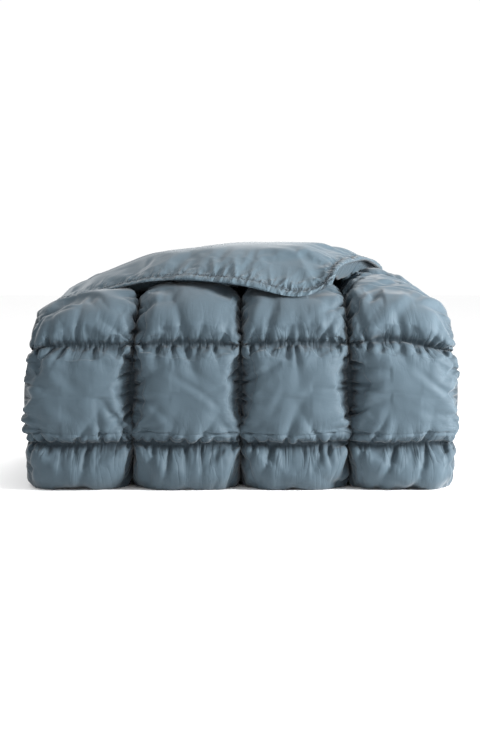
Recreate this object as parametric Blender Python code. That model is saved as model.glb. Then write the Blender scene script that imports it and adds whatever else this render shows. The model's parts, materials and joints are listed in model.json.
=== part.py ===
"""A camp quilt, box quilted and gathered, folded into a bundle.

One long quilt is folded back and forth. Its next length wraps the folds from below, up the front and over
the top. Its last length lies on the bundle as a flap, lining side up, and turns back about the seam along
the bundle's top rear edge.

Metres, +Z up. The origin is on the floor under the middle of the bundle, and the front faces -Y.
"""

import math

import bmesh
import bpy
from mathutils import Vector

# Driving dimensions
COLUMNS = 4
BOX_WIDTH = 0.130  # a quilted box across the quilt, seam to seam
ROW_LENGTH = 0.118  # a quilted box along the quilt, seam to seam
LAYER = 0.049  # one folded layer, at the crest of its boxes
INNER_LAYERS = 3  # folded layers inside the wrap
FRONT_SWELL = 0.011  # how much further the boxes swell on the free front
FRONT_MID_Y = -0.153  # middle of the wrap's thickness, up the front
LOWER_RADIUS = 0.045  # the wrap's bends, at the middle of its thickness
UPPER_RADIUS = 0.050
REAR_FOLD_Y = 0.143  # centre of the folds at the back
INNER_FOLD_Y = -0.077  # centre of the fold at the front of the inner layers
LOWER_SEAM_Z = 0.060  # height of the lower seam across the front
FABRIC = 0.0006
GAP = 0.0004  # between pieces that lie on each other
SEAM_HALF = 0.0010  # half the filling's thickness where a seam pinches it
SEAM_INSET = 0.0012  # the filling stops this far from a seam line
FILL_EASE = 0.0026  # how much less the filling reaches than its cloth, so that it lies free inside
TIGHT_BEND = 0.003  # room left on the inside of a fold
THREAD_WIDTH = 0.0012
THREAD_LIFT = 0.0016

# The flap
FLAP_ROWS = 3
FLAP_LAYER = 0.034  # a single loose layer, thinner than the folded ones
FLAP_REACH = 0.340  # from the rear seam to its front hem, along its right edge
FLAP_SKEW = 0.100  # how much shorter it reaches at its left edge
FLAP_SHIFT = 0.150  # how far its front end is drawn to the left
FLAP_GATHER = 0.35  # the share of that shift which its left edge makes, so that it gathers in between
FLAP_EASE = 0.0012  # room between the flap and the top of the bundle
FLAP_DROP_EASE = 0.0030  # more room where it bends down over the front
DRAPE_X = -0.246  # centre of the bend where it drapes down over the left side
DRAPE_RADIUS = 0.036
HEM_WIDTH = 0.010
HEM_HALF = 0.0014

# The soft set of the whole bundle
BELLY_Z = 0.120  # height where the bundle is widest
WAIST = 0.040  # share of its width lost towards the floor and the top
LEFT_TUCK = 0.035  # share of its width that the left side loses more, at the top
CROWN_RISE = 0.019  # how much the middle of the top stands up
CROWN_DROP = 0.024  # how much its sides fall
CROWN_START_Z = 0.080

# Derived sizes
HALF_LAYER = LAYER / 2
CLOTH = GAP + FABRIC
PAD_HALF = HALF_LAYER - CLOTH - GAP
LOOSE_HALF = HALF_LAYER - GAP
FLAP_PAD_HALF = FLAP_LAYER / 2 - CLOTH - GAP
HALF_WIDTH = COLUMNS * BOX_WIDTH / 2
UNDER_MID_Z = PAD_HALF + CLOTH
TOP_MID_Z = UNDER_MID_Z + (INNER_LAYERS + 1) * LAYER
SEAM_PLANE_Z = TOP_MID_Z + HALF_LAYER
HALF_DEPTH = REAR_FOLD_Y + LAYER
REAR_SEAM_Y = REAR_FOLD_Y + HALF_LAYER
ACROSS = (0.0, 0.2, 0.8, 1.0)  # stations across a box: its seams and the edges of its crest
ALONG = (0.0, 0.2, 0.5, 0.8, 1.0)
FLAP_ACROSS = (0.0, 0.2, 0.35, 0.5, 0.65, 0.8, 1.0)
FLAP_STEPS = len(FLAP_ACROSS) - 1


# ---------------------------------------------------------------- the path of the folded quilt
class Path:
    """A line through the YZ plane, made of straight runs and bends, read by its length."""

    def __init__(self, y, z, heading_degrees):
        self.place = (y, z, math.radians(heading_degrees))
        self.parts = []
        self.length = 0.0

    def run(self, length):
        y, z, heading = self.place
        self.parts.append((self.length, self.place, None))
        self.place = (y + length * math.cos(heading), z + length * math.sin(heading), heading)
        self.length += length
        return self

    def bend(self, radius, degrees):
        """A bend to the left, or to the right when degrees is below zero."""
        y, z, heading = self.place
        side = math.copysign(1, degrees)
        centre = (y - side * radius * math.sin(heading), z + side * radius * math.cos(heading))
        self.parts.append((self.length, self.place, (centre, radius, side)))
        end = heading + math.radians(degrees)
        self.place = (centre[0] + side * radius * math.sin(end), centre[1] - side * radius * math.cos(end), end)
        self.length += radius * math.radians(abs(degrees))
        return self

    def at(self, s):
        """(y, z), the unit normal on the left-hand side, and the room on the left and on the right."""
        part = [p for p in self.parts if p[0] <= s + 1e-9 or p is self.parts[0]][-1]
        start, (y, z, heading), bend = part
        left_room = right_room = 1.0
        if bend:
            centre, radius, side = bend
            heading += side * (s - start) / radius
            y = centre[0] + side * radius * math.sin(heading)
            z = centre[1] - side * radius * math.cos(heading)
            if side > 0:
                left_room = radius - TIGHT_BEND
            else:
                right_room = radius - TIGHT_BEND
        else:
            y += (s - start) * math.cos(heading)
            z += (s - start) * math.sin(heading)
        return y, z, -math.sin(heading), math.cos(heading), left_room, right_room


def inner_path():
    """From the quilt's inner end, back and forth, to the rear fold at the bottom."""
    depth = REAR_FOLD_Y - INNER_FOLD_Y
    path = Path(INNER_FOLD_Y, TOP_MID_Z - LAYER, 0)
    path.run(depth).bend(HALF_LAYER, -180)
    path.run(depth).bend(HALF_LAYER, 180)
    return path.run(depth)


def wrap_path():
    """From the rear fold, under the bundle, up the front, and over the top to the rear seam."""
    path = Path(REAR_FOLD_Y, UNDER_MID_Z + LAYER, 0)
    path.bend(HALF_LAYER, -180)
    path.run(REAR_FOLD_Y - FRONT_MID_Y - LOWER_RADIUS)
    path.bend(LOWER_RADIUS, -90)
    path.run(TOP_MID_Z - UPPER_RADIUS - UNDER_MID_Z - LOWER_RADIUS)
    path.bend(UPPER_RADIUS, -90)
    return path.run(REAR_SEAM_Y - FRONT_MID_Y - UPPER_RADIUS)


def flap_path():
    """From the rear seam forwards over the top, and down over the front."""
    rest = FLAP_EASE + FLAP_LAYER / 2
    path = Path(REAR_SEAM_Y, SEAM_PLANE_Z + rest, 180)
    path.run(REAR_SEAM_Y - FRONT_MID_Y - UPPER_RADIUS)
    return path.bend(UPPER_RADIUS + HALF_LAYER + rest, 90)


INNER, WRAP, FLAP = inner_path(), wrap_path(), flap_path()
INNER_ROWS = round(INNER.length / ROW_LENGTH)


def wrap_seams():
    """(the lengths along the wrap of the seams between its rows, names of the rows)."""
    sine = (UNDER_MID_Z + LOWER_RADIUS - LOWER_SEAM_Z) / LOWER_RADIUS
    lower = WRAP.parts[2][0] + LOWER_RADIUS * (math.pi / 2 - math.asin(sine))
    under = (lower - ROW_LENGTH) / 2
    upper = lower + ROW_LENGTH
    over = upper + ROW_LENGTH
    top = (over + WRAP.length) / 2
    seams = (0.0, under, 2 * under, lower, upper, over, top, WRAP.length)
    return seams, ("under_rear", "under_front", "lower", "middle", "upper", "top_front", "top_rear")


SEAMS, ROW_NAMES = wrap_seams()


# ---------------------------------------------------------------- from the quilt to the room
def swell(share):
    """How full a box is at this share of its side: 0 on a seam, 1 over its crest."""
    return min(1.0, max(0.0, min(share, 1 - share) / ACROSS[1]))


def fullness(across, along):
    return min(swell(across), swell(along))


def share_between(value, seams):
    """(which interval of seams holds the value, the share of it passed)."""
    place = max(i for i in range(len(seams) - 1) if seams[i] <= value + 1e-9 or i == 0)
    return place, (value - seams[place]) / (seams[place + 1] - seams[place])


def slump(x, y, z):
    """The bundle's soft set: widest at its belly, crowned in the middle, tucked in at the upper left."""
    height = min(1.0, max(0.0, (z - CROWN_START_Z) / (SEAM_PLANE_Z - CROWN_START_Z)))
    share = WAIST * ((z - BELLY_Z) / BELLY_Z) ** 2 + (LEFT_TUCK * height**2 if x < 0 else 0.0)
    aside = min(1.2, (x / HALF_WIDTH) ** 2)
    behind = min(1.0, (y / HALF_DEPTH) ** 2)
    rise = CROWN_RISE * (1 - aside) * (1 - behind) - CROWN_DROP * aside
    return Vector((x * (1 - share), y, z + height * rise))


def on_wrap(s, x, side, half, raise_by=0.0):
    """A point of the wrap. side is 1 on its shell and -1 on its lining."""
    row, along = share_between(s, SEAMS)
    across = ((x + HALF_WIDTH) / BOX_WIDTH) % 1.0
    y, z, ny, nz, left_room, right_room = WRAP.at(s)
    free = FRONT_SWELL * max(0.0, -ny) ** 2 if side > 0 else 0.0
    thickness = SEAM_HALF + fullness(across, along) * (half + free - SEAM_HALF) + raise_by
    fold_ease = raise_by if raise_by > 0 else 3 * raise_by
    thickness = min(thickness, left_room if side > 0 else right_room - CLOTH + fold_ease)
    rise = 0.0
    if row == len(ROW_NAMES) - 1 and along > 0.5:  # up to the seam that the flap turns on
        rise = (1 - swell(along)) * (HALF_LAYER - SEAM_HALF - CLOTH)
        if side > 0:
            thickness = min(thickness, HALF_LAYER - rise - CLOTH + raise_by)
    return slump(x, y + side * thickness * ny, z + rise + side * thickness * nz)


def on_inner(s, x, side):
    across = ((x + HALF_WIDTH) / BOX_WIDTH) % 1.0
    along = (s / INNER.length * INNER_ROWS) % 1.0
    y, z, ny, nz, left_room, right_room = INNER.at(s)
    thickness = SEAM_HALF + fullness(across, along) * (LOOSE_HALF - SEAM_HALF)
    thickness = min(thickness, left_room if side > 0 else right_room)
    return slump(x, y + side * thickness * ny, z + side * thickness * nz)


def on_flap(along, across, side, thickness):
    """A point of the flap: along from its rear seam to its front hem, across from its left to its right."""
    reach = FLAP_REACH - FLAP_SKEW * (1 - across)
    y, z, ny, nz, left_room, right_room = FLAP.at(along * reach)
    drawn = FLAP_GATHER + (1 - FLAP_GATHER) * across
    x = (2 * across - 1) * HALF_WIDTH - FLAP_SHIFT * drawn * along**1.3
    tilt = fall = 0.0
    beyond = DRAPE_X - x
    if beyond > 0:
        tilt = min(math.pi / 2, beyond / DRAPE_RADIUS)
        hang = max(0.0, beyond - DRAPE_RADIUS * math.pi / 2)
        x = DRAPE_X - DRAPE_RADIUS * math.sin(tilt)
        fall = DRAPE_RADIUS * (1 - math.cos(tilt)) + hang
    edge = min(1.0, along * FLAP_ROWS / ALONG[1])
    sink = (1 - edge) * (FLAP_LAYER / 2 - SEAM_HALF - CLOTH)
    if side > 0:
        thickness = min(thickness, FLAP_LAYER / 2 - sink)
    offset = side * thickness * (1 - 0.6 * math.sin(tilt)) - FLAP_DROP_EASE * abs(ny)
    lean = math.cos(tilt)
    return slump(x + offset * math.sin(tilt), y + offset * ny * lean, z - fall - sink + offset * nz * lean)


# ---------------------------------------------------------------- Blender objects
def material(name, colour, roughness):
    made = bpy.data.materials.new(name)
    made.use_nodes = True
    shader = made.node_tree.nodes["Principled BSDF"]
    shader.inputs["Base Color"].default_value = (*colour, 1)
    shader.inputs["Roughness"].default_value = roughness
    shader.inputs["Metallic"].default_value = 0.0
    return made


def node(name, mesh, look):
    made = bpy.data.objects.new(name, mesh)
    bpy.context.scene.collection.objects.link(made)
    made.data.materials.append(look)
    return made


def grid(columns, rows, box_steps):
    """A flat grid over the unit square, cut into triangles that crease each box from its corners inwards."""
    made = bmesh.new()
    bmesh.ops.create_grid(made, x_segments=columns, y_segments=rows, size=0.5)
    bmesh.ops.translate(made, verts=made.verts, vec=(0.5, 0.5, 0))
    for corner in made.verts:
        on_seam = round(corner.co.x * columns) % box_steps[0] == 0 or round(corner.co.y * rows) % box_steps[1] == 0
        corner.co.z = 0 if on_seam else 1
    bmesh.ops.triangulate(made, faces=made.faces, quad_method="LONG_EDGE")
    return made


def block(name, columns, rows, place, look, box_steps=(1, 1)):
    """A closed solid between two faces. place(u, v, side) puts each corner of the grid, side 1 or -1."""
    made = grid(columns, rows, box_steps)
    first = made.verts[:]
    grown = bmesh.ops.extrude_face_region(made, geom=made.faces[:], use_keep_orig=True)["geom"]
    second = [v for v in grown if isinstance(v, bmesh.types.BMVert)]
    for corners, side in ((first, -1), (second, 1)):
        for corner in corners:
            corner.co = place(corner.co.x, corner.co.y, side)
    bmesh.ops.recalc_face_normals(made, faces=made.faces)
    if made.calc_volume(signed=True) < 0:
        bmesh.ops.reverse_faces(made, faces=made.faces)
    mesh = bpy.data.meshes.new(name)
    made.to_mesh(mesh)
    made.free()
    return node(name, mesh, look)


def cloth(name, columns, rows, place, look, box_steps):
    """A sheet of cloth. place(u, v, raise_by) puts each corner, raised by the cloth's thickness or not."""

    def both(u, v, side):
        return place(u, v, CLOTH if side > 0 else GAP)

    return block(name, columns, rows, both, look, box_steps)


def station(share, count, stations):
    """The place of a grid line in a run of boxes that are each cut at the given stations."""
    steps = len(stations) - 1
    step = round(share * count * steps)
    box = min(count - 1, step // steps)
    return box, stations[step - box * steps]


def inset(share, side_length, edge=SEAM_INSET):
    """A share of a side, stopped just short of its two ends."""
    return min(1 - edge / side_length, max(edge / side_length, share))


def eased(index, stations, edge, point):
    """point(station), drawn inwards by a share of the side when the station is at either end of it."""
    last = len(stations) - 1
    if index == 0:
        return point(0.0).lerp(point(stations[1]), edge / stations[1])
    if index == last:
        return point(1.0).lerp(point(stations[last - 1]), edge / (1 - stations[last - 1]))
    return point(stations[index])


def fill_ease(across, along):
    """How much less the filling reaches than its cloth. A pinched seam leaves it only half as thick."""
    return max(SEAM_HALF / 2, fullness(across, along) * FILL_EASE)


def filling_block(name, across, along, length, point, look):
    """The filling of one box. point(share across, share along, side) lies on the inside of the cloth."""

    def place(u, v, side):
        def line(a):
            return eased(round(v * (len(along) - 1)), along, SEAM_INSET / length, lambda b: point(a, b, side))

        return eased(round(u * (len(across) - 1)), across, SEAM_INSET / BOX_WIDTH, line)

    steps = (len(across) - 1, len(along) - 1)
    return block(name, *steps, place, look, steps)


def wrap_fills(look):
    """The filling of each box of the wrap."""
    for row, row_name in enumerate(ROW_NAMES):
        start, end = SEAMS[row], SEAMS[row + 1]
        for column in range(COLUMNS):

            def point(across, along, side):
                x = (column + across) * BOX_WIDTH - HALF_WIDTH
                return on_wrap(start + along * (end - start), x, side, PAD_HALF, -fill_ease(across, along))

            name = f"fill_{row_name}_{column + 1}"
            filling_block(name, ACROSS, ALONG, end - start, point, look)


def wrap_cloth(name, first, last, side, look):
    """The shell or the lining over the rows of the wrap from first up to last."""
    rows = last - first
    edge = SEAM_INSET / 2

    def place(u, v, raise_by):
        column, across = station(u, COLUMNS, ACROSS)
        row, along = station(v, rows, ALONG)
        row += first
        s = SEAMS[row] + along * (SEAMS[row + 1] - SEAMS[row])
        s = min(SEAMS[last] - edge, max(SEAMS[first] + edge, s))
        x = (column + across) * BOX_WIDTH - HALF_WIDTH
        return on_wrap(s, x, side, PAD_HALF, raise_by)

    cloth(name, COLUMNS * 3, rows * 4, place, look, (3, 4))


def inner_rows(look):
    """The folded layers inside the wrap, one solid for each row of boxes across the quilt."""
    length = INNER.length / INNER_ROWS
    for row in range(INNER_ROWS):

        def place(u, v, side):
            column, across = station(u, COLUMNS, ACROSS)
            x = (column + across) * BOX_WIDTH - HALF_WIDTH
            edge = SEAM_INSET / length
            return eased(round(v * 4), ALONG, edge, lambda along: on_inner((row + along) * length, x, side))

        block(f"inner_row_{row + 1}", COLUMNS * 3, 4, place, look, (3, 4))


def flap_body(u, v):
    """(along, across) of a point of the flap inside its hems, from shares of that inner part."""
    width = 2 * HALF_WIDTH
    return v * (1 - HEM_WIDTH / FLAP_REACH), (HEM_WIDTH + u * (width - 2 * HEM_WIDTH)) / width


def flap_fills(look):
    for row in range(FLAP_ROWS):
        for column in range(COLUMNS):

            def point(across, along, side):
                thickness = SEAM_HALF + fullness(across, along) * (FLAP_PAD_HALF - SEAM_HALF)
                u = (column + across) / COLUMNS
                v = (row + along) / FLAP_ROWS
                return on_flap(*flap_body(u, v), side, thickness - fill_ease(across, along))

            name = f"fill_flap_{row + 1}_{column + 1}"
            filling_block(name, FLAP_ACROSS, ALONG, ROW_LENGTH, point, look)


def flap_cloth(name, side, look):
    def place(u, v, raise_by):
        column, across = station(u, COLUMNS, FLAP_ACROSS)
        row, along = station(v, FLAP_ROWS, ALONG)
        thickness = SEAM_HALF + fullness(across, along) * (FLAP_PAD_HALF - SEAM_HALF) + raise_by
        u = inset((column + across) / COLUMNS, 2 * HALF_WIDTH, SEAM_INSET / 2)
        v = inset((row + along) / FLAP_ROWS, FLAP_REACH, SEAM_INSET / 2)
        return on_flap(*flap_body(u, v), side, thickness)

    cloth(name, COLUMNS * FLAP_STEPS, FLAP_ROWS * 4, place, look, (FLAP_STEPS, 4))


def hems(look):
    """The turned and stitched edges of the flap: its front end and its two sides."""
    width = 2 * HALF_WIDTH
    along_hem = HEM_WIDTH / FLAP_REACH
    across_hem = HEM_WIDTH / width

    def front(u, v, side):
        column, across = station(u, COLUMNS, FLAP_ACROSS)
        return on_flap(1 - along_hem * (1 - v), (column + across) / COLUMNS, side, HEM_HALF)

    def at_side(left):
        def place(u, v, side):
            row, along = station(v, FLAP_ROWS, ALONG)
            v = inset((row + along) / FLAP_ROWS, FLAP_REACH, SEAM_INSET / 2) * (1 - along_hem)
            across = u * across_hem
            return on_flap(v, across if left else 1 - across, side, HEM_HALF)

        return place

    block("hem_flap_front", COLUMNS * FLAP_STEPS, 1, front, look)
    block("hem_flap_left", 1, FLAP_ROWS * 4, at_side(True), look)
    block("hem_flap_right", 1, FLAP_ROWS * 4, at_side(False), look)


def threads(look):
    """The quilting threads that pull the seams down: three along the wrap and two across its front."""
    rows = len(ROW_NAMES)

    def raised(side):
        return CLOTH + THREAD_LIFT + side * THREAD_WIDTH / 4

    for column in range(1, COLUMNS):

        def place(u, v, side):
            row, along = station(v, rows, ALONG)
            s = SEAMS[row] + along * (SEAMS[row + 1] - SEAMS[row])
            s = min(WRAP.length - 6 * SEAM_INSET, max(SEAM_INSET, s))
            seam_x = column * BOX_WIDTH - HALF_WIDTH
            point = on_wrap(s, seam_x, 1, PAD_HALF, raised(side))
            return point + Vector(((u - 0.5) * THREAD_WIDTH, 0, 0))

        block(f"thread_along_{column}", 1, rows * 4, place, look)
    for name, seam in (("lower", 3), ("upper", 4)):

        def place(u, v, side):
            column, across = station(u, COLUMNS, ACROSS)
            s = SEAMS[seam] + (v - 0.5) * THREAD_WIDTH
            x = (column + across) * BOX_WIDTH - HALF_WIDTH
            return on_wrap(s, x, 1, PAD_HALF, raised(side) + THREAD_WIDTH)

        block(f"thread_across_{name}", COLUMNS * 3, 1, place, look)


def centre_on_origin(solids):
    """Moves every piece so that the bundle's outline is centred over the origin."""
    corners = [corner.co for solid in solids for corner in solid.data.vertices]
    middle = [(min(c[axis] for c in corners) + max(c[axis] for c in corners)) / 2 for axis in (0, 1)]
    for corner in corners:
        corner.x -= middle[0]
        corner.y -= middle[1]


def main():
    for found in list(bpy.data.objects):
        bpy.data.objects.remove(found)
    shell = material("shell_cloth", (0.165, 0.225, 0.275), 0.62)
    lining = material("lining_cloth", (0.185, 0.245, 0.295), 0.66)
    filling = material("filling", (0.80, 0.80, 0.78), 0.95)
    thread = material("thread", (0.10, 0.14, 0.18), 0.7)
    wrap_fills(filling)
    wrap_cloth("shell_under", 0, 3, 1, shell)
    wrap_cloth("shell_wrap", 3, len(ROW_NAMES), 1, shell)
    wrap_cloth("lining_wrap", 0, len(ROW_NAMES), -1, lining)
    inner_rows(shell)
    flap_fills(filling)
    flap_cloth("shell_flap", 1, shell)
    flap_cloth("lining_flap", -1, lining)
    hems(lining)
    threads(thread)
    centre_on_origin(bpy.data.objects)


main()
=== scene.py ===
"""A folded camp quilt: quilted, gathered cloth round a soft filling, with a loose flap on top."""

import json
import math
import random

import bmesh
import bpy
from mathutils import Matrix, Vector, noise
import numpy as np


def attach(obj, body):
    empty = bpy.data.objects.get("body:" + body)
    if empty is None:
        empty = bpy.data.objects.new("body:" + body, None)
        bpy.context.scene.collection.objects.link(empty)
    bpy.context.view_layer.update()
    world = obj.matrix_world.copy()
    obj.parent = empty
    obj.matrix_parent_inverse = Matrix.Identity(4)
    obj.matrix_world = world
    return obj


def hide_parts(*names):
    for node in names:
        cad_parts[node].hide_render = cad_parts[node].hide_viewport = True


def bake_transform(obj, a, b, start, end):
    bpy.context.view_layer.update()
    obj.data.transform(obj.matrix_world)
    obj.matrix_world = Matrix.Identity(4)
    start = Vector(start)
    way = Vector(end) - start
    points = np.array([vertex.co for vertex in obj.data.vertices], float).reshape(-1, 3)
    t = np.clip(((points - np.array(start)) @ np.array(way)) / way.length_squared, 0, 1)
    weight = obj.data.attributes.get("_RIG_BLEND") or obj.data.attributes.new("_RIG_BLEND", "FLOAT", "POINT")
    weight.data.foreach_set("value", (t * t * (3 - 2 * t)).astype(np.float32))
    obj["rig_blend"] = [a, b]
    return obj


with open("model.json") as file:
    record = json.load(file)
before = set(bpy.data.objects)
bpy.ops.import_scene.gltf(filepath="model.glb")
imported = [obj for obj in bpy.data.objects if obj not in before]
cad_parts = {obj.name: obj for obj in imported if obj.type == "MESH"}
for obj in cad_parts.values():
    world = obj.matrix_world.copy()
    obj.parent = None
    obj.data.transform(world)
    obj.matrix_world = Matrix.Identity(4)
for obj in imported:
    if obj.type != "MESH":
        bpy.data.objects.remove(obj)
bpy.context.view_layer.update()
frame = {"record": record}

# ---------------------------------------------------------------- sizes that the CAD has too
COLUMNS = 4
BOX_WIDTH = 0.130  # a quilted box across the quilt, seam to seam
ROW_LENGTH = 0.118  # a quilted box along the quilt, seam to seam
LAYER = 0.049  # one folded layer, at the crest of its boxes
INNER_LAYERS = 3
INNER_ROWS = 7
FRONT_MID_Y = -0.153  # middle of the wrap's thickness, up the front
LOWER_RADIUS = 0.045  # the wrap's bends, at the middle of its thickness
UPPER_RADIUS = 0.050
REAR_FOLD_Y = 0.143  # centre of the folds at the back
INNER_FOLD_Y = -0.077  # centre of the fold at the front of the inner layers
LOWER_SEAM_Z = 0.060
GAP = 0.0004  # between pieces that lie on each other
TIGHT_BEND = 0.003  # room left on the inside of a fold
FLAP_ROWS = 3
FLAP_LAYER = 0.034
FLAP_REACH = 0.340  # from the rear seam to its front hem, along its right edge
FLAP_SKEW = 0.100  # how much shorter it reaches at its left edge
FLAP_EASE = 0.0012  # room between the flap and the top of the bundle
FLAP_DROP_EASE = 0.0030  # more room where it bends down over the front
DRAPE_RADIUS = 0.036
BELLY_Z = 0.120  # height where the bundle is widest
WAIST = 0.040  # share of its width lost towards the top
CROWN_START_Z = 0.080

# ---------------------------------------------------------------- the visible bundle's own sizes
# A pair whose name ends in AT is the centre and the width of a soft rise or hollow.
FRONT_SWELL = 0.012  # how much further the boxes swell on the free front
INSIDE_SWELL = 0.010  # the same on the wrap's inner face
INSIDE_SHARE = 0.97  # that face's share of the wrap's half thickness
WRAP_EASE = 0.001  # how much less than half a layer the wrap and the inner layers are filled
INNER_EASE = 0.0008
INNER_TOP_SHARE = 0.9  # the share of that which the inner layers' first face keeps
WRAP_END = 0.055  # the wrap's end rises into the rear seam over this length
FOOT = 0.008  # share of its width lost towards the floor
LEFT_TUCK = 0.022  # share of its width that the left side loses more, at the top
CROWN_RISE = 0.009  # how much the middle of the top stands up
CROWN_DROP = 0.026  # how much its sides fall
CROWN_END = 1.2  # they fall no further beyond this share of the half width, squared
FRONT_DROOP = 0.010  # how much the top's front edge hangs in its middle
FRONT_DROOP_AT = (-0.005, 0.115)
SHOULDER_RISE = 0.013  # how much the right shoulder stands up
RIGHT_SHOULDER_AT = (0.190, 0.055)
LEFT_SHOULDER_AT = (-0.235, 0.045)
LEFT_SHOULDER = 0.6  # the left shoulder's rise, as a share of the right one's
REAR_FILL = 0.010  # how much fuller the rear of the top is
REAR_FILL_AT = (0.09, 0.05)
UNDER_DRAPE = 0.009  # how much the wrap gives way under the flap's drape
DRAPE_DRAWS_IN = 0.7  # the share of that by which it is drawn in sideways
FLAP_LEFT_SHIFT = 0.045  # how far the flap's left edge is drawn to the left at its front
FLAP_REAR_RIGHT = 0.205  # the flap's right edge, at the rear
FLAP_RIGHT_SHIFT = 0.100  # how far that edge is drawn to the left at its front
FLAP_TILT = 0.050  # how much the flap slopes down to the left
FLAP_RISE = 0.030  # the flap rises out of its rear seam over this length
LEFT_SINK = 0.007  # how much the flap sinks before its drape
LEFT_SINK_AT = (-0.205, 0.060)
CORNER_ROUND = 0.085  # how much shorter the flap is at its front right corner
CORNER_WIDTH = 0.055  # the share of its width where it is
CORNER_START = 0.80  # the share of its reach where that starts
CORNER_SINK = 0.013  # how much its front sinks beside that corner
CORNER_SINK_AT = (0.080, 0.060)
DRAPE_X = -0.227  # where the flap bends down over the left side
DRAPE_THINS = 0.6  # the share of its thickness lost where it hangs
CENTRE = Vector((0.0010, -0.0016, 0.0))

HALF_LAYER = LAYER / 2
HALF_WIDTH = COLUMNS * BOX_WIDTH / 2
UNDER_MID_Z = HALF_LAYER - GAP
TOP_MID_Z = UNDER_MID_Z + (INNER_LAYERS + 1) * LAYER
SEAM_PLANE_Z = TOP_MID_Z + HALF_LAYER
HALF_DEPTH = REAR_FOLD_Y + LAYER
REAR_SEAM_Y = REAR_FOLD_Y + HALF_LAYER
COLUMN_EDGES = [i * BOX_WIDTH - HALF_WIDTH for i in range(COLUMNS + 1)]

# ---------------------------------------------------------------- how the cloth lies
SEAM_HALF = 0.0016  # half the thickness left where a seam pinches the quilt
CELLS = 52  # lines of the cloth mesh in each box
SQUARE_ACROSS = 3.6  # 2 is a round box, more is squarer
SQUARE_ALONG = 8.0
FOOT_FILL = 0.021  # how far the filling settles into the lower front edge
SHALLOW_SEAM = 0.40  # how full the front of the quilt stays on its cross seams
OVERHANG = 0.0048  # how far the sides of a box lean out over its seams
WIDEN = 1.018  # cloth stands a little proud of the filling at the sides
SEAM_PULL = 0.0085  # how far a row seam draws the quilt's two side edges in
SEAM_SQUARE = 2.4  # how squarely that pull ends between two row seams
SEAM_HOLD = 0.005  # a seam holds the ends of its neighbours' gathers still over this distance
LUMP, SMALL_LUMP = 0.0022, 0.0008  # the unevenness of the filling
FOLD_DEGREES = (50, 65, 115, 130)  # the ways that the long soft folds run
DRAGGED_DEGREES = 30  # and the way of those in the right-hand boxes, which the flap drags along
DRAGGED_ROWS = (4, 5)
HEM_WIDTH = 0.0105
HEM_HALF = 0.0026
HEM_SEAM = 0.45  # the share of the hem's thickness left in its stitching
FLAP_SAG, FLAP_MIDDLE_SAG = 0.007, 0.003  # how far the flap's underside hangs, at the right and elsewhere
RIPPLE_WIDTH = 0.5  # the length of the front hem, as its gathers count it
STITCH = 0.0030
STITCH_WIDTH, STITCH_HEIGHT = 0.0009, 0.0008
STITCH_PITCH = 0.0042

# ---------------------------------------------------------------- the cloth simulation
WRAP_CELLS = (10, 10, 44, 50, 50, 30, 12)  # lines of the cloth mesh in each row of boxes
INNER_CELLS = (10, 20, 28, 12, 10, 10, 16)
FLAP_CELLS = (130, 88)
LINE_PULL = 0.45  # how much closer together the lines lie beside a seam
FRAMES = 14
MOST_MOVE = 0.006  # no point moves further than this


# ---------------------------------------------------------------- looks
SHELL_COLOUR = (0.040, 0.062, 0.079)
LINING_COLOUR = (0.049, 0.076, 0.096)
THREAD_COLOUR = (0.018, 0.026, 0.034)
SEAM_SHADE_COLOUR = (0.10, 0.12, 0.14)  # painted shade: what the cloth's colour is multiplied by in its seams, standing in for the shade in their deep valleys
CROSS_SHADE = (0.0026, 0.55)  # how far that painted shade reaches from the seams across the quilt, and how strong it is
SIDE_SHADE = (0.0060, 0.80)  # the same beside the seams along it
DARKER, LIGHTER = 0.94, 1.05  # the unevenness of a cloth's colour
PLEATS_ALONG, PLEATS_AWAY = 85.0, 34.0  # scale of the fine pleats, along a seam and away from it
PLEAT_POWER = 0.6  # below 1, the pleats have sharp troughs
PLEAT_REACH = 0.0115
EULER = 2.718


# ---------------------------------------------------------------- the path of the folded quilt
class Path:
    """A line through the YZ plane, made of straight runs and bends, read by its length."""

    def __init__(self, y, z, heading_degrees):
        self.place = (y, z, math.radians(heading_degrees))
        self.parts = []
        self.length = 0.0

    def run(self, length):
        y, z, heading = self.place
        self.parts.append((self.length, self.place, None))
        self.place = (y + length * math.cos(heading), z + length * math.sin(heading), heading)
        self.length += length
        return self

    def bend(self, radius, degrees):
        """A bend to the left, or to the right when degrees is below zero."""
        y, z, heading = self.place
        side = math.copysign(1, degrees)
        centre = (y - side * radius * math.sin(heading), z + side * radius * math.cos(heading))
        self.parts.append((self.length, self.place, (centre, radius, side)))
        end = heading + math.radians(degrees)
        y, z = centre[0] + side * radius * math.sin(end), centre[1] - side * radius * math.cos(end)
        self.place = (y, z, end)
        self.length += radius * math.radians(abs(degrees))
        return self

    def at(self, s):
        """(y, z), the unit normal on the left-hand side, and the room on the left and on the right."""
        start, (y, z, heading), bend = [p for p in self.parts if p[0] <= s + 1e-9 or p is self.parts[0]][-1]
        left_room = right_room = 1.0
        if bend:
            centre, radius, side = bend
            heading += side * (s - start) / radius
            y = centre[0] + side * radius * math.sin(heading)
            z = centre[1] - side * radius * math.cos(heading)
            if side > 0:
                left_room = radius - TIGHT_BEND
            else:
                right_room = radius - TIGHT_BEND
        else:
            y += (s - start) * math.cos(heading)
            z += (s - start) * math.sin(heading)
        return y, z, -math.sin(heading), math.cos(heading), left_room, right_room


def inner_path():
    depth = REAR_FOLD_Y - INNER_FOLD_Y
    path = Path(INNER_FOLD_Y, TOP_MID_Z - LAYER, 0)
    path.run(depth).bend(HALF_LAYER, -180)
    path.run(depth).bend(HALF_LAYER, 180)
    return path.run(depth)


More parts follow.
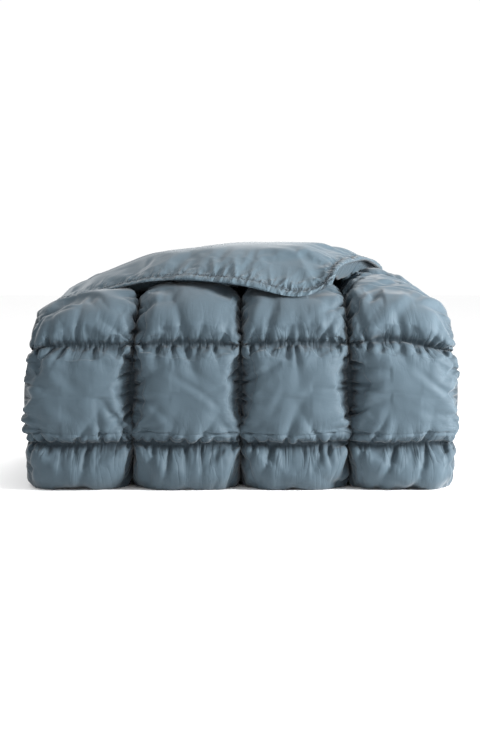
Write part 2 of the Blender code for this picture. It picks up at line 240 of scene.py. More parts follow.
def wrap_path():
    path = Path(REAR_FOLD_Y, UNDER_MID_Z + LAYER, 0)
    path.bend(HALF_LAYER, -180)
    path.run(REAR_FOLD_Y - FRONT_MID_Y - LOWER_RADIUS)
    path.bend(LOWER_RADIUS, -90)
    path.run(TOP_MID_Z - UPPER_RADIUS - UNDER_MID_Z - LOWER_RADIUS)
    path.bend(UPPER_RADIUS, -90)
    return path.run(REAR_SEAM_Y - FRONT_MID_Y - UPPER_RADIUS)


def flap_path():
    rest = FLAP_EASE + FLAP_LAYER / 2
    path = Path(REAR_SEAM_Y, SEAM_PLANE_Z + rest, 180)
    path.run(REAR_SEAM_Y - FRONT_MID_Y - UPPER_RADIUS)
    return path.bend(UPPER_RADIUS + HALF_LAYER + rest, 90)


INNER, WRAP, FLAP = inner_path(), wrap_path(), flap_path()


def wrap_seams():
    sine = (UNDER_MID_Z + LOWER_RADIUS - LOWER_SEAM_Z) / LOWER_RADIUS
    lower = WRAP.parts[2][0] + LOWER_RADIUS * (math.pi / 2 - math.asin(sine))
    under = (lower - ROW_LENGTH) / 2
    upper = lower + ROW_LENGTH
    over = upper + ROW_LENGTH
    top = (over + WRAP.length) / 2
    return (0.0, under, 2 * under, lower, upper, over, top, WRAP.length)


WRAP_SEAMS = wrap_seams()
INNER_SEAMS = tuple(i * INNER.length / INNER_ROWS for i in range(INNER_ROWS + 1))


# ---------------------------------------------------------------- shaping the cloth
def fbm(x, y, z, size):
    return noise.noise(Vector((x / size, y / size, z / size)))


def smooth_step(value, start, end):
    share = min(1.0, max(0.0, (value - start) / (end - start)))
    return share * share * (3 - 2 * share)


def bell(value, centre, width):
    """1 at the centre, and softly down to nothing about two widths away."""
    return math.exp(-(((value - centre) / width) ** 2))


def dome(share, squareness):
    """How full a box is at this share of its side: 0 on a seam, 1 in its middle, with steep rounded edges."""
    aside = min(1.0, abs(2 * share - 1))
    return math.sqrt(max(0.0, 1 - aside**squareness))


def slump(x, y, z):
    """The bundle's soft set: widest at its belly, crowned in the middle, tucked in at the upper left."""
    height = min(1.0, max(0.0, (z - CROWN_START_Z) / (SEAM_PLANE_Z - CROWN_START_Z)))
    narrow = WAIST if z > BELLY_Z else FOOT
    share = narrow * ((z - BELLY_Z) / BELLY_Z) ** 2 + (LEFT_TUCK * height**2 if x < 0 else 0.0)
    aside = min(CROWN_END, (x / HALF_WIDTH) ** 2)
    behind = min(1.0, (y / HALF_DEPTH) ** 2)
    rise = CROWN_RISE * (1 - aside) * (1 - behind) - CROWN_DROP * aside
    rise -= FRONT_DROOP * bell(x, *FRONT_DROOP_AT) * smooth_step(-y, 0.0, 0.19)
    left = LEFT_SHOULDER * bell(x, *LEFT_SHOULDER_AT) * smooth_step(-y, 0.05, 0.15)
    rise += SHOULDER_RISE * (bell(x, *RIGHT_SHOULDER_AT) + left)
    return Vector((x * (1 - share) * WIDEN, y, z + height * rise)) + CENTRE


def long_folds(s, x, row, column, length, tag):
    """The few long soft folds that run slantwise over a box, away from its seams."""
    pick = random.Random(97 * row + 31 * column + tag)
    dragged = tag == 0 and row in DRAGGED_ROWS and column == COLUMNS - 1
    total = 0.0
    slope = pick.choice(FOLD_DEGREES)
    for number in range(8 if dragged else 4):
        centre_x = (0.15 + 0.7 * pick.random()) * BOX_WIDTH - HALF_WIDTH + column * BOX_WIDTH
        centre_s = (0.15 + 0.7 * pick.random()) * length
        turn = math.radians((DRAGGED_DEGREES if dragged else slope) + 24 * pick.random())
        reach, width = 0.012 + 0.016 * pick.random(), 0.0040 + 0.0030 * pick.random()
        height = (0.0006 + 0.0009 * pick.random()) * (2.0 if dragged else 1.0)
        bow = pick.random() - 0.5
        dx, ds = x - centre_x, s - centre_s
        run = dx * math.cos(turn) + ds * math.sin(turn)
        if abs(run) < 2.5 * reach:
            aside = (ds * math.cos(turn) - dx * math.sin(turn) - 4.0 * run * run * bow) / width
            if abs(aside) < 4:
                total += height * bell(run, 0, reach) * (0.55 * bell(aside, 1, 1) - bell(aside, -0.6, 1))
    return total


class Gathers:
    """The notches that a gathered seam pulls into the cloth beside it, each with its own place and reach."""

    def __init__(self, pitch, depth, reach):
        self.pitch, self.depth, self.reach = pitch, depth, reach
        self.notches = {}

    def notch(self, seam, number):
        key = (seam, number)
        if key not in self.notches:
            pick = random.Random(hash((seam, number, 17)) % 1000003).random
            pick()
            long = pick() < 0.32
            place = (number + 0.15 + 0.7 * pick()) * self.pitch
            reach = self.reach * (1.6 + 1.6 * pick() if long else 0.45 + 0.8 * pick())
            width = self.pitch * (0.13 + 0.10 * pick())
            depth = self.depth * (1.0 + 0.6 * pick() if long else 0.4 + 1.0 * pick())
            self.notches[key] = (place, (pick() - 0.5) * (1.5 if long else 0.9), reach, width, depth)
        return self.notches[key]

    def height(self, seam, run, away):
        """How far the cloth is drawn in or pushed out at this run along the seam, this far away from it."""
        if away > 4 * self.reach:
            return 0.0
        total = 0.0
        number = math.floor(run / self.pitch)
        for near in range(number - 3, number + 4):
            place, slant, reach, width, depth = self.notch(seam, near)
            aside = (run - place - slant * away) / (width * (1 + 0.9 * away / self.reach))
            if abs(aside) < 3.5:
                fade = math.exp(-away / reach)
                groove = 1.1 * math.exp(-(abs(aside) ** 1.5))
                total += depth * fade * (0.55 * bell(aside, 0, 2.0) - groove)
        return total * (1 - math.exp(-away / 0.0012))


SIDE_GATHERS = Gathers(0.0130, 0.0066, 0.012)  # beside the seams that run along the quilt
CROSS_GATHERS = Gathers(0.0170, 0.0072, 0.014)  # beside the seams that run across it
HEM_GATHERS = Gathers(0.0110, 0.0032, 0.009)  # along the stitching of the hem


def find_box(s, x, seams):
    """(row, share of the row, column, share of the column, distance to a cross seam, to a long seam)."""
    row = max(i for i in range(len(seams) - 1) if seams[i] <= s + 1e-9 or i == 0)
    length = seams[row + 1] - seams[row]
    along = (s - seams[row]) / length
    column = min(COLUMNS - 1, max(0, int((x + HALF_WIDTH) / BOX_WIDTH + 1e-6)))
    across = (x + HALF_WIDTH - column * BOX_WIDTH) / BOX_WIDTH
    return row, along, column, across, min(along, 1 - along) * length, min(across, 1 - across) * BOX_WIDTH


def lean_out(place, edges, overhang):
    """Moves a place nearer to its closest seam, as the full side of a box leans out over it."""
    below = max(edge for edge in edges if edge <= place + 1e-9)
    above = min(edge for edge in edges if edge >= place - 1e-9)
    away = min(place - below, above - place)
    fade = max(0.0, 1 - (2 * away / max(1e-9, above - below)) ** 2)
    shift = overhang * (1 - math.exp(-away / overhang)) * math.exp(-away / 0.024) * fade
    return place - shift if place - below < above - place else place + shift


def box_thickness(s, x, seams, half, shallow=0.0):
    """Half the thickness of a box here. shallow is the fullness left on a cross seam."""
    row, along, column, across, to_row, to_column = find_box(s, x, seams)
    fullness = shallow + (1 - shallow) * dome(along, SQUARE_ALONG)
    return SEAM_HALF + dome(across, SQUARE_ACROSS) * fullness * (half - SEAM_HALF)


def puckers(s, x, seams, tag):
    """The gathers of the seams round this point of the quilt, and the soft unevenness of its filling."""
    row, along, column, across, to_row, to_column = find_box(s, x, seams)
    length = seams[row + 1] - seams[row]
    free_row = 1 - math.exp(-to_column / SEAM_HOLD)
    free_column = 1 - math.exp(-to_row / SEAM_HOLD)
    total = 0.0
    for edge, away in ((0, along), (1, 1 - along)):
        total += free_row * CROSS_GATHERS.height((tag, row, column, edge), x + HALF_WIDTH, away * length)
    for edge, away in ((2, across), (3, 1 - across)):
        total += free_column * SIDE_GATHERS.height((tag, row, column, edge), s, away * BOX_WIDTH)
    lump = LUMP * fbm(x, s, tag, 0.045) + SMALL_LUMP * fbm(x, s, tag + 9, 0.016)
    total += long_folds(s - seams[row], x, row, column, length, tag)
    return total + lump * min(1.0, min(to_row, to_column) / 0.02)


def under_drape(x, y, nz):
    """How much of the wrap's top lies under the flap's drape here, from 0 to 1."""
    beside = 1 - smooth_step(x, -0.25, -0.17)
    return nz * beside * smooth_step(y, -0.13, -0.05) * (1 - smooth_step(y, 0.08, 0.14))


def on_wrap(s, x, side):
    """A point of the wrap: on its shell when side is 1, on its inner face when side is -1."""
    leaning = lean_out(s, WRAP_SEAMS, OVERHANG) if side > 0 else s
    y, z, ny, nz, left_room, right_room = WRAP.at(leaning)
    free = (FRONT_SWELL if side > 0 else INSIDE_SWELL) * max(0.0, -ny) ** 2
    if side > 0:
        free += FOOT_FILL * 2 * max(0.0, -ny) * max(0.0, -nz)
    half = (HALF_LAYER - WRAP_EASE + free) * (1.0 if side > 0 else INSIDE_SHARE)
    shallow = SHALLOW_SEAM * max(0.0, -ny) ** 2 if side > 0 else 0.0
    thickness = box_thickness(s, x, WRAP_SEAMS, half, shallow)
    share = find_box(s, x, WRAP_SEAMS)[1]
    drawn = 1 - SEAM_PULL / HALF_WIDTH * abs(x / HALF_WIDTH) ** 3 * (1 - dome(share, SEAM_SQUARE))
    x = (lean_out(x, COLUMN_EDGES, 1.4 * OVERHANG) if side > 0 else x) * drawn
    thickness = min(thickness, left_room if side > 0 else right_room)
    rise = 0.0
    last = WRAP.length - s
    if last < WRAP_END:
        rise = (1 - math.sin(math.pi / 2 * last / WRAP_END)) * (HALF_LAYER - SEAM_HALF)
        if side > 0:
            thickness = min(thickness, HALF_LAYER - rise)
    if side > 0 and nz > 0:
        rise += REAR_FILL * nz * bell(y, *REAR_FILL_AT) * smooth_step(x, -0.18, -0.06)
        covered = under_drape(x, y, nz)
        rise -= UNDER_DRAPE * covered
        x += DRAPE_DRAWS_IN * UNDER_DRAPE * covered
    return slump(x, y + side * thickness * ny, z + rise + side * thickness * nz)


def on_inner(s, x, side):
    y, z, ny, nz, left_room, right_room = INNER.at(s)
    half = (HALF_LAYER - INNER_EASE) * (INNER_TOP_SHARE if side > 0 else 1.0)
    thickness = box_thickness(s, x, INNER_SEAMS, half)
    thickness = min(thickness, left_room if side > 0 else right_room)
    return slump(x, y + side * thickness * ny, z + side * thickness * nz)


def flap_frame(along, across):
    """The flap's middle surface: a point in the flat, its shell-side normal and the fall of its drape."""
    corner = math.exp(-((1 - across) / CORNER_WIDTH) ** 1.2)
    along -= CORNER_ROUND * corner * smooth_step(along, CORNER_START, 1.0)
    reach = FLAP_REACH - FLAP_SKEW * (1 - across)
    y, z, ny, nz = FLAP.at(along * reach)[:4]
    left = -HALF_WIDTH - FLAP_LEFT_SHIFT * along**1.3
    right = FLAP_REAR_RIGHT - FLAP_RIGHT_SHIFT * along**1.2
    x = left + (right - left) * across
    tilt = fall = 0.0
    beyond = DRAPE_X - x
    if beyond > 0:
        tilt = min(math.pi / 2, beyond / DRAPE_RADIUS)
        hang = max(0.0, beyond - DRAPE_RADIUS * math.pi / 2)
        x = DRAPE_X - DRAPE_RADIUS * math.sin(tilt)
        fall = DRAPE_RADIUS * (1 - math.cos(tilt)) + hang
    return x, y, z, ny, nz, tilt, fall


def on_flap(along, across, side, thickness, sag=0.0):
    """A point of the flap: under it when side is 1, on its top when side is -1. sag hangs below it."""
    x, y, z, ny, nz, tilt, fall = flap_frame(along, across)
    edge = min(1.0, along * FLAP_REACH / FLAP_RISE)
    sink = (1 - math.sin(math.pi / 2 * edge)) * (FLAP_LAYER / 2 - SEAM_HALF)
    if side > 0:
        thickness = min(thickness, FLAP_LAYER / 2 - sink)
    thickness += sag
    offset = side * thickness * (1 - DRAPE_THINS * math.sin(tilt)) - FLAP_DROP_EASE * abs(ny)
    lean = math.cos(tilt)
    loose = smooth_step(along, 0.05, 0.4)
    raised = FLAP_TILT * x * loose
    raised -= LEFT_SINK * loose * bell(x, *LEFT_SINK_AT)
    raised -= CORNER_SINK * smooth_step(along, 0.70, 1.0) * bell(x, *CORNER_SINK_AT)
    height = z + raised - fall - sink + offset * nz * lean
    return slump(x + offset * math.sin(tilt), y + offset * ny * lean, height)


# ---------------------------------------------------------------- making meshes
def new_object(name, mesh):
    made = bpy.data.objects.new(name, mesh)
    bpy.context.scene.collection.objects.link(made)
    return made


def cloth_grid(name, across, along, place, held):
    """A face of cloth on the given lines. place(a, b) puts its points, held(i, k) says which are pinned."""
    made = bmesh.new()
    columns, rows = len(across) - 1, len(along) - 1
    bmesh.ops.create_grid(made, x_segments=columns, y_segments=rows, size=0.5)
    flat_a = made.verts.layers.float.new("flat_a")
    flat_b = made.verts.layers.float.new("flat_b")
    pins = []
    for corner in made.verts:
        i, k = round((corner.co.x + 0.5) * columns), round((corner.co.y + 0.5) * rows)
        corner[flat_a], corner[flat_b] = across[i], along[k]
        corner.co = place(across[i], along[k])
        pins.append(held(i, k))
    mesh = bpy.data.meshes.new(name)
    made.to_mesh(mesh)
    made.free()
    piece = new_object(name, mesh)
    group = piece.vertex_groups.new(name="held")
    group.add([index for index, pin in enumerate(pins) if pin], 1.0, "REPLACE")
    return piece


def add_cloth(piece, pressure, ease, stiffness=15.0, bending=0.03):
    """Cloth under pressure, held at its seams, and cut larger than the space between them by ease."""
    cloth = piece.modifiers.new("cloth", "CLOTH")
    settings = cloth.settings
    settings.quality = 5
    settings.mass = 0.25
    settings.tension_stiffness = stiffness
    settings.compression_stiffness = stiffness
    settings.shear_stiffness = stiffness * 0.4
    settings.bending_stiffness = bending
    settings.air_damping = 2.0
    settings.use_pressure = True
    settings.uniform_pressure_force = pressure
    settings.shrink_min = -ease
    settings.vertex_group_mass = "held"
    settings.pin_stiffness = 1.0
    settings.effector_weights.gravity = 0.0
    cloth.collision_settings.use_collision = False
    cloth.collision_settings.use_self_collision = False
    return cloth


def simulate(pieces, frames, cap):
    """Runs every cloth together, then keeps each result, with no point moved by more than the cap."""
    scene = bpy.context.scene
    scene.frame_start, scene.frame_end = 1, frames
    for number in range(1, frames + 1):
        scene.frame_set(number)
    for piece in pieces:
        start = [corner.co.copy() for corner in piece.data.vertices]
        seen = piece.evaluated_get(bpy.context.evaluated_depsgraph_get())
        ends = [corner.co.copy() for corner in seen.data.vertices]
        piece.modifiers.clear()
        for corner, first, last in zip(piece.data.vertices, start, ends):
            move = last - first
            length = move.length
            if length > 0:
                move *= cap * math.tanh(length / cap) / length
            corner.co = first + move
    scene.frame_set(1)


def refine(piece):
    """Rounds the cloth off with one subdivision, and applies it."""
    smooth = piece.modifiers.new("round", "SUBSURF")
    smooth.levels = smooth.render_levels = 1
    seen = piece.evaluated_get(bpy.context.evaluated_depsgraph_get())
    mesh = bpy.data.meshes.new_from_object(seen)
    piece.modifiers.clear()
    piece.data = mesh
    piece.vertex_groups.clear()
    return piece


def pucker(piece, height):
    """Raises the cloth along its own normals. height(a, b) is how far at each point of the flat quilt."""
    mesh = piece.data
    normals = [corner.normal.copy() for corner in mesh.vertices]
    flat = zip(mesh.attributes["flat_a"].data, mesh.attributes["flat_b"].data)
    for corner, normal, (a, b) in zip(mesh.vertices, normals, flat):
        corner.co += normal * height(a.value, b.value)
    return piece


def mark(piece, measure):
    """Notes on the cloth how far each point lies along and away from its seams, for the fine creases and the
    painted seam shade.
    """
    mesh = piece.data
    names = ("run_a", "run_b", "near_cross", "near_side")
    for name in names:
        mesh.attributes.new(name, "FLOAT", "POINT")
    flat_a, flat_b = mesh.attributes["flat_a"].data, mesh.attributes["flat_b"].data
    flat = [(a.value, b.value) for a, b in zip(flat_a, flat_b)]
    notes = [mesh.attributes[name].data for name in names]
    for index, (a, b) in enumerate(flat):
        for note, value in zip(notes, measure(a, b)):
            note[index].value = value


def quilt_measure(seams):
    def measure(x, s):
        found = find_box(s, x, seams)
        return x, s, found[4], found[5]

    return measure


def flap_measure(a, b):
    front, left, right = flap_edges(a, b)[:3]
    return a * 2 * HALF_WIDTH, b * FLAP_REACH, abs(front - HEM_WIDTH), abs(min(left, right) - HEM_WIDTH)


def close_over(piece, back):
    """Closes the cloth's face with a back. back(a, b) gives the back's points."""
    made = bmesh.new()
    made.from_mesh(piece.data)
    flat_a = made.verts.layers.float["flat_a"]
    flat_b = made.verts.layers.float["flat_b"]
    grown = bmesh.ops.extrude_face_region(made, geom=made.faces[:], use_keep_orig=True)["geom"]
    for corner in grown:
        if isinstance(corner, bmesh.types.BMVert):
            corner.co = back(corner[flat_a], corner[flat_b])
    bmesh.ops.recalc_face_normals(made, faces=made.faces)
    if made.calc_volume(signed=True) < 0:
        bmesh.ops.reverse_faces(made, faces=made.faces)
    for face in made.faces:
        face.smooth = True
    made.to_mesh(piece.data)
    made.free()
    return piece


def rest_on_floor(piece):
    for corner in piece.data.vertices:
        if corner.co.z < 0.0:
            corner.co.z = 0.00002
    return piece


# ---------------------------------------------------------------- the wrap and the inner layers
def eased_lines(count):
    """Lines from 0 to 1, closer together at both ends."""
    turns = [2 * math.pi * i / count for i in range(count + 1)]
    return [i / count - LINE_PULL * math.sin(turn) / (2 * math.pi) for i, turn in enumerate(turns)]


def lines(seams, cells):
    """The places of the mesh lines, closer together beside the seams, and which of them are seams."""
    places, on_seam = [seams[0]], {0}
    for start, end, count in zip(seams, seams[1:], cells):
        places += [start + (end - start) * share for share in eased_lines(count)[1:]]
        on_seam.add(len(places) - 1)
    return places, on_seam


def quilted_layer(name, point, seams, cells, pressure, ease):
    across, across_seams = lines(COLUMN_EDGES, [CELLS] * COLUMNS)
    along, along_seams = lines(seams, cells)

    def held(i, k):
        return i in across_seams or k in along_seams

    piece = cloth_grid(name, across, along, lambda x, s: point(s, x, 1), held)
    add_cloth(piece, pressure, ease)
    return piece


# ---------------------------------------------------------------- the flap
def flap_edges(a, b):
    """Distances of a point of the flap from its front hem, its left hem, its right hem and its rear seam."""
    reach = FLAP_REACH - FLAP_SKEW * (1 - a)
    return (1 - b) * reach, a * 2 * HALF_WIDTH, (1 - a) * 2 * HALF_WIDTH, b * reach


def hem_profile(distance, half):
    """Half the thickness at this distance from a hemmed edge: a roll, its stitching, then the filling."""
    if distance < HEM_WIDTH:
        return HEM_HALF * math.sqrt(max(0.0, math.sin(math.pi * (0.03 + 0.9 * distance / HEM_WIDTH))))
    rise = smooth_step(distance, HEM_WIDTH - 0.004, HEM_WIDTH + 0.060) ** 0.75
    return HEM_HALF * HEM_SEAM + (half - HEM_HALF * HEM_SEAM) * rise


def flap_ripple(a, b):
    """The puckers along the hem's stitching, and the soft buckles behind it."""
    front, left, right, rear = flap_edges(a, b)
    total = 0.0
    run_a, run_b = a * RIPPLE_WIDTH, b * FLAP_REACH
    for seam, run, edge in ((1, run_a, front), (2, run_b, left), (3, run_b, right)):
        total += HEM_GATHERS.height(seam, run, abs(edge - HEM_WIDTH)) * (1.0 if edge > HEM_WIDTH else 0.7)
        total += 0.0030 * fbm(run, seam, edge * 0.5, 0.034) * math.exp(-edge / 0.035)
    total += 0.0020 * fbm(run_a, run_b, 4.0, 0.060)
    return smooth_step(rear, 0.0, 0.03) * total


def flap_top(a, b):
    front, left, right = flap_edges(a, b)[:3]
    slack = 0.40 + 0.60 * smooth_step(left, 0.02, 0.20)
    return on_flap(b, a, -1, hem_profile(min(front, left, right), (FLAP_LAYER / 2 + 0.002) * slack))


def flap_under(a, b):
    front, left, right, rear = flap_edges(a, b)
    edge = min(front, left, right)
    x = (a - 0.5) * 2 * HALF_WIDTH
    s = b * FLAP_ROWS * ROW_LENGTH
    seams = tuple(i * ROW_LENGTH for i in range(FLAP_ROWS + 1))
    quilted = max(0.001, box_thickness(s, x, seams, FLAP_LAYER / 2) + 0.8 * puckers(s, x, seams, 80))
    rim = smooth_step(edge, HEM_WIDTH, HEM_WIDTH + 0.028)
    thickness = hem_profile(edge, 0.007) * (1 - rim) + quilted * rim
    sag = FLAP_SAG * smooth_step(right, 0.010, 0.035) * (1 - smooth_step(right, 0.16, 0.26))
    sag = max(sag, FLAP_MIDDLE_SAG * smooth_step(edge, 0.030, 0.08)) * smooth_step(front, 0.020, 0.07)
    return on_flap(b, a, 1, thickness, sag * smooth_step(rear, 0.0, 0.05))


def flap_cloth():
    across, along = map(eased_lines, FLAP_CELLS)

    def held(i, k):
        front, left, right, rear = flap_edges(across[i], along[k])
        return min(front, left, right) < HEM_WIDTH + 0.003 or rear < 0.004

    piece = cloth_grid("quilt_flap", across, along, flap_top, held)
    add_cloth(piece, pressure=0.6, ease=0.035, bending=0.8)
    return piece


def stitches(name, points, normals, material):
    """A row of small stitches, each lying along the line of points."""
    made = bmesh.new()
    for here, there, normal in zip(points, points[1:], normals):
        run = (there - here).normalized()
        centre = (here + there) / 2
        up = (normal - run * normal.dot(run)).normalized()
        side = run.cross(up)
        grown = bmesh.ops.create_icosphere(made, subdivisions=1, radius=1.0)["verts"]
        for corner in grown:
            x, y, z = corner.co
            beside = centre + run * (x * STITCH / 2) + side * (y * STITCH_WIDTH / 2)
            corner.co = beside + up * (z * STITCH_HEIGHT / 2)
    for face in made.faces:
        face.smooth = True
    mesh = bpy.data.meshes.new(name)
    made.to_mesh(mesh)
    made.free()
    piece = new_object(name, mesh)
    piece.data.materials.append(material)
    return piece


def stitch_row(point, places):
    """Points along a row of stitching, and the cloth's normals there. point(a, b) is on the cloth."""
    points, normals = [], []
    for a, b in places:
        here = point(a, b)
        one = point(a + 0.0015, b) - here
        other = point(a, b + 0.0015) - here
        points.append(here)
        normals.append(one.cross(other).normalized())
    return points, normals


def sew(name, rows, material):
    """One piece of thread made of several rows of stitches."""
    pieces = [stitches(name, points, normals, material) for points, normals in rows]
    made = bmesh.new()
    for piece in pieces:
        made.from_mesh(piece.data)
        bpy.data.objects.remove(piece)
    mesh = bpy.data.meshes.new(name)
    made.to_mesh(mesh)
    made.free()
    thread = new_object(name, mesh)
    thread.data.materials.append(material)
    return thread


def quilting(material):
    """The stitching in every seam of the wrap that can be seen."""
    rows = []
    for s in WRAP_SEAMS[1:-1]:
        count = int(2 * HALF_WIDTH / STITCH_PITCH)
        places = [(s, -HALF_WIDTH + 0.002 + k * STITCH_PITCH) for k in range(count)]
        rows.append(stitch_row(lambda a, b: on_wrap(a, b, 1), places))
    for x in COLUMN_EDGES[1:-1]:
        count = int((WRAP.length - 0.004) / STITCH_PITCH)
        places = [(0.002 + k * STITCH_PITCH, x) for k in range(count)]
        rows.append(stitch_row(lambda a, b: on_wrap(a, b, 1), places))
    return sew("quilting_thread", rows, material)


def hem_stitching(material):
    """The topstitching that holds the flap's rolled hem."""
    rows = []
    inset = HEM_WIDTH + 0.0004
    across = 2 * HALF_WIDTH
    low, high = inset / across, 1 - inset / across

    def at_front(a):
        return 1 - inset / (FLAP_REACH - FLAP_SKEW * (1 - a))

    count = int(across * (high - low) / STITCH_PITCH)
    shares = [low + (high - low) * k / count for k in range(count + 1)]
    rows.append([(a, at_front(a)) for a in shares])
    for a in (low, high):
        count = int(at_front(a) * (FLAP_REACH - FLAP_SKEW * (1 - a)) / STITCH_PITCH)
        rows.append([(a, 0.02 + (at_front(a) - 0.02) * k / count) for k in range(count + 1)])
    sewn = []
    for places in rows:
        points, normals = stitch_row(flap_top, places)
        lifts = [flap_ripple(a, b) + 0.0005 for a, b in places]
        facing = [normal if normal.z > 0 else -normal for normal in normals]
        sewn.append(([p + n * lift for p, n, lift in zip(points, facing, lifts)], facing))
    return sew("hem_stitching", sewn, material)


# ---------------------------------------------------------------- materials
def noted(nodes, name):
    found = nodes.new("ShaderNodeAttribute")
    found.attribute_name = name
    return found.outputs["Fac"]


def reckon(nodes, links, operation, first, second):
    """A Math node whose two inputs are each a number or another node's output."""
    made = nodes.new("ShaderNodeMath")
    made.operation = operation
    for socket, value in zip(made.inputs, (first, second)):
        if isinstance(value, (int, float)):
            socket.default_value = value
        else:
            links.new(value, socket)
    return made.outputs["Value"]


def fade_out(nodes, links, away, reach):
    """1 in a seam, and down to nothing a few times the reach away from it."""
    share = reckon(nodes, links, "DIVIDE", noted(nodes, away), -reach)
    return reckon(nodes, links, "POWER", EULER, share)


def noise_texture(nodes, scale, detail, roughness=0.5, distortion=0.0):
    made = nodes.new("ShaderNodeTexNoise")
    made.inputs["Scale"].default_value = scale
    made.inputs["Detail"].default_value = detail
    made.inputs["Roughness"].default_value = roughness
    made.inputs["Distortion"].default_value = distortion
    return made


def bump(nodes, strength, distance):
    made = nodes.new("ShaderNodeBump")
    made.inputs["Strength"].default_value = strength
    made.inputs["Distance"].default_value = distance
    return made


def mix_colours(nodes, first, second, blend="MIX"):
    made = nodes.new("ShaderNodeMix")
    made.data_type = "RGBA"
    made.blend_type = blend
    made.inputs[6].default_value = (*first, 1)
    made.inputs[7].default_value = (*second, 1)
    return made


def gather_creases(nodes, links):
    """Sharp small creases that start in a seam, run away from it and fade."""
    heights = []
    for run, away, depth in (("run_a", "near_cross", 0.0), ("run_b", "near_side", 3.0)):
        place = nodes.new("ShaderNodeCombineXYZ")
        links.new(reckon(nodes, links, "MULTIPLY", noted(nodes, run), PLEATS_ALONG), place.inputs["X"])
        links.new(reckon(nodes, links, "MULTIPLY", noted(nodes, away), PLEATS_AWAY), place.inputs["Y"])
        place.inputs["Z"].default_value = depth
        ripple = noise_texture(nodes, 1.0, 2.0, distortion=0.5)
        links.new(place.outputs["Vector"], ripple.inputs["Vector"])
        middle = reckon(nodes, links, "SUBTRACT", ripple.outputs["Fac"], 0.5)
        ridge = reckon(nodes, links, "POWER", reckon(nodes, links, "ABSOLUTE", middle, 0.0), PLEAT_POWER)
        fade = fade_out(nodes, links, away, PLEAT_REACH)
        heights.append(reckon(nodes, links, "MULTIPLY", ridge, fade))
    return reckon(nodes, links, "ADD", heights[0], heights[1])


def painted_seam_shade(nodes, links):
    """How much darker the cloth is painted in and beside its seams: painted shade for the shadow in their
    valleys.
    """
    parts = []
    for away, (reach, depth) in (("near_cross", CROSS_SHADE), ("near_side", SIDE_SHADE)):
        parts.append(reckon(nodes, links, "MULTIPLY", fade_out(nodes, links, away, reach), depth))
    return reckon(nodes, links, "MAXIMUM", parts[0], parts[1])


def fabric(name, colour, roughness=0.68, crinkle=0.25):
    """Woven cloth: slightly uneven in colour, with painted shade in its seams, and with pleats, creases and a
    fine weave.
    """
    made = bpy.data.materials.new(name)
    made.use_nodes = True
    nodes, links = made.node_tree.nodes, made.node_tree.links
    shader = nodes["Principled BSDF"]
    shader.inputs["Roughness"].default_value = roughness
    shader.inputs["Sheen Weight"].default_value = 0.12
    shader.inputs["Sheen Roughness"].default_value = 0.45
    shader.inputs["Specular IOR Level"].default_value = 0.22
    place = nodes.new("ShaderNodeTexCoord")

    broad = noise_texture(nodes, 9.0, 3.0)
    tint = mix_colours(nodes, [c * DARKER for c in colour], [c * LIGHTER for c in colour])
    # painted shade: the cloth's colour multiplied darker in and beside its seams
    shade = mix_colours(nodes, colour, SEAM_SHADE_COLOUR, "MULTIPLY")
    links.new(place.outputs["Object"], broad.inputs["Vector"])
    links.new(broad.outputs["Fac"], tint.inputs[0])
    links.new(painted_seam_shade(nodes, links), shade.inputs[0])
    links.new(tint.outputs[2], shade.inputs[6])
    links.new(shade.outputs[2], shader.inputs["Base Color"])

    creases = noise_texture(nodes, 70.0, 4.0, roughness=0.55, distortion=0.6)
    weave = noise_texture(nodes, 2400.0, 1.0)
    links.new(place.outputs["Object"], creases.inputs["Vector"])
    links.new(place.outputs["Object"], weave.inputs["Vector"])
    drawn, soft, fine = bump(nodes, 0.9, 0.0048), bump(nodes, crinkle, 0.0012), bump(nodes, 0.12, 0.0002)
    links.new(gather_creases(nodes, links), drawn.inputs["Height"])
    links.new(creases.outputs["Fac"], soft.inputs["Height"])
    links.new(weave.outputs["Fac"], fine.inputs["Height"])
    links.new(drawn.outputs["Normal"], soft.inputs["Normal"])
    links.new(soft.outputs["Normal"], fine.inputs["Normal"])
    links.new(fine.outputs["Normal"], shader.inputs["Normal"])
    return made


def plain(name, colour, roughness):
    made = bpy.data.materials.new(name)
    made.use_nodes = True
    shader = made.node_tree.nodes["Principled BSDF"]
    shader.inputs["Base Color"].default_value = (*colour, 1)
    shader.inputs["Roughness"].default_value = roughness
    return made


# ---------------------------------------------------------------- the room
def floor_and_light():
    ground = bmesh.new()
    bmesh.ops.create_grid(ground, x_segments=1, y_segments=1, size=6.0)
    mesh = bpy.data.meshes.new("floor")
    ground.to_mesh(mesh)
    ground.free()
    floor = new_object("floor", mesh)
    floor.data.materials.append(plain("floor_white", (0.94, 0.94, 0.94), 0.9))
    world = bpy.data.worlds.new("studio")
    bpy.context.scene.world = world
    world.use_nodes = True
    world.node_tree.nodes["Background"].inputs["Color"].default_value = (1, 1, 1, 1)
    world.node_tree.nodes["Background"].inputs["Strength"].default_value = 1.02
    for name, place, aim, size, power in (
        ("key", (1.28, -0.62, 0.54), (0, 0, 0.14), 0.38, 68.0),
        ("top", (0.5, -0.2, 2.2), (0, 0, 0.1), 1.0, 17.0),
        ("rear", (-1.2, 1.5, 0.9), (0, 0, 0.14), 1.0, 16.0),
    ):
        lamp = bpy.data.lights.new(name, "AREA")
        lamp.energy = power
        lamp.size = size
        holder = new_object(name, lamp)
        holder.location = place
        holder.rotation_euler = (Vector(aim) - Vector(place)).to_track_quat("-Z", "Y").to_euler()


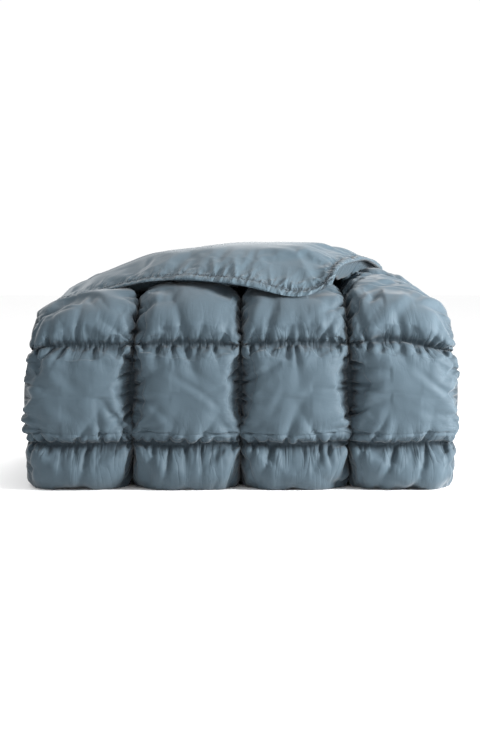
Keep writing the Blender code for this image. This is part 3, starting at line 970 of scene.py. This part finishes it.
def camera():
    lens = bpy.data.cameras.new("camera")
    lens.lens = 90.0
    lens.sensor_width = 36.0
    holder = new_object("camera", lens)
    holder.location = (0.0, -2.39, 0.32)
    aim = Vector((0.0, -0.19, 0.149))
    holder.rotation_euler = (aim - holder.location).to_track_quat("-Z", "Y").to_euler()
    bpy.context.scene.camera = holder
    bpy.context.scene.view_settings.view_transform = "Standard"


def main():
    floor_and_light()
    camera()
    shell = fabric("quilted_shell", SHELL_COLOUR)
    lining = fabric("smooth_lining", LINING_COLOUR, roughness=0.6, crinkle=0.18)
    wrap = quilted_layer("quilt_wrap", on_wrap, WRAP_SEAMS, WRAP_CELLS, pressure=1.6, ease=0.09)
    inner = quilted_layer("quilt_inner", on_inner, INNER_SEAMS, INNER_CELLS, pressure=1.5, ease=0.10)
    flap = flap_cloth()
    simulate([wrap, inner, flap], FRAMES, MOST_MOVE)
    refine(wrap)
    refine(flap)
    pucker(wrap, lambda x, s: puckers(s, x, WRAP_SEAMS, 0))
    pucker(inner, lambda x, s: puckers(s, x, INNER_SEAMS, 50))
    pucker(flap, flap_ripple)
    mark(wrap, quilt_measure(WRAP_SEAMS))
    mark(inner, quilt_measure(INNER_SEAMS))
    mark(flap, flap_measure)
    close_over(wrap, lambda x, s: on_wrap(s, x, -1))
    close_over(inner, lambda x, s: on_inner(s, x, -1))
    close_over(flap, flap_under)
    rest_on_floor(wrap)
    for piece, look, slot, fill in (
        (wrap, shell, "shell_cloth", 0.7),
        (inner, shell, "shell_cloth", 0.6),
        (flap, lining, "lining_cloth", 0.4),
    ):
        piece.data.materials.append(look)
    thread = plain("dark_thread", THREAD_COLOUR, 0.7)
    quilted = quilting(thread)
    hemmed = hem_stitching(thread)
    for piece in (wrap, inner, quilted):
        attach(piece, "bundle")
    hinge = frame["record"]["behaviour"]["joints"][0]["pos_m"]
    for piece in (flap, hemmed):
        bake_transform(piece, "bundle", "flap", start=(0, hinge[1], hinge[2]), end=(0, hinge[1] - 0.05, hinge[2]))
    bodies = frame["record"]["behaviour"]["bodies"]
    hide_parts(*[n for n in bodies["bundle"] if n.startswith("inner_row")])
    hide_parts(*[n for n in bodies["bundle"] if n.startswith("thread")])
    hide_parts(*[n for n in bodies["bundle"] if not n.startswith(("inner_row", "thread"))])
    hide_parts(*bodies["flap"])


main()
